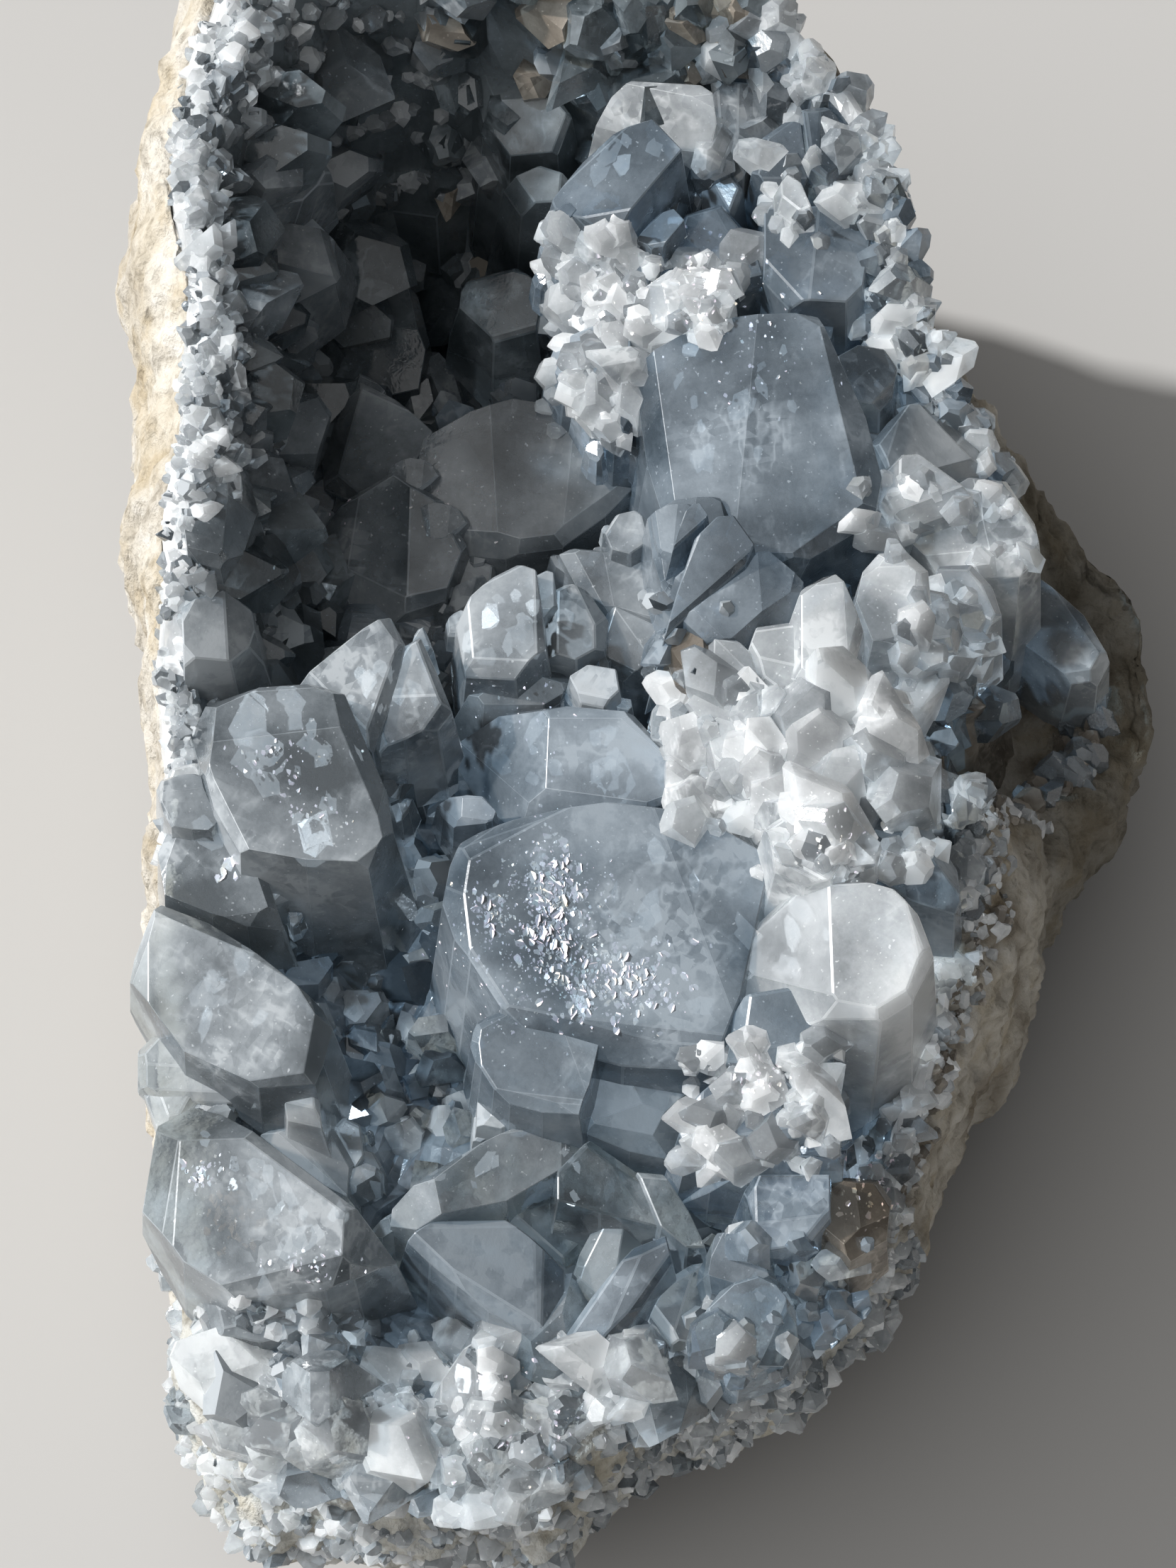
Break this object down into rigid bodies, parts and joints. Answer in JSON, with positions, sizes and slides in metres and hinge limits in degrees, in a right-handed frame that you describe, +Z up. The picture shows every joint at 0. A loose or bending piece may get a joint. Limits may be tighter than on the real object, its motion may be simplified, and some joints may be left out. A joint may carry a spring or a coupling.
{
  "type": "crystal cluster",
  "caption": "Half of a broken geode lying on its back: an oval rock bowl with a flat underside, its hollow crowded with blocky flat-topped crystals beside one deep open pocket.",
  "frame": {"origin": "middle of the bounding box at the height of the flat underside", "axes": "+Z up out of the open hollow, +Y along the long oval towards the deep pocket, +X towards the side with the small lobe"},
  "size_m": [0.0896, 0.1426, 0.0655],
  "materials": {
    "rock": "rough weathered limestone",
    "crystal": "milky pale blue-grey crystal, clear in places"
  },
  "bodies": {
    "root": {"rind": "rock", "crystal_crust": "crystal"}
  },
  "joints": []
}
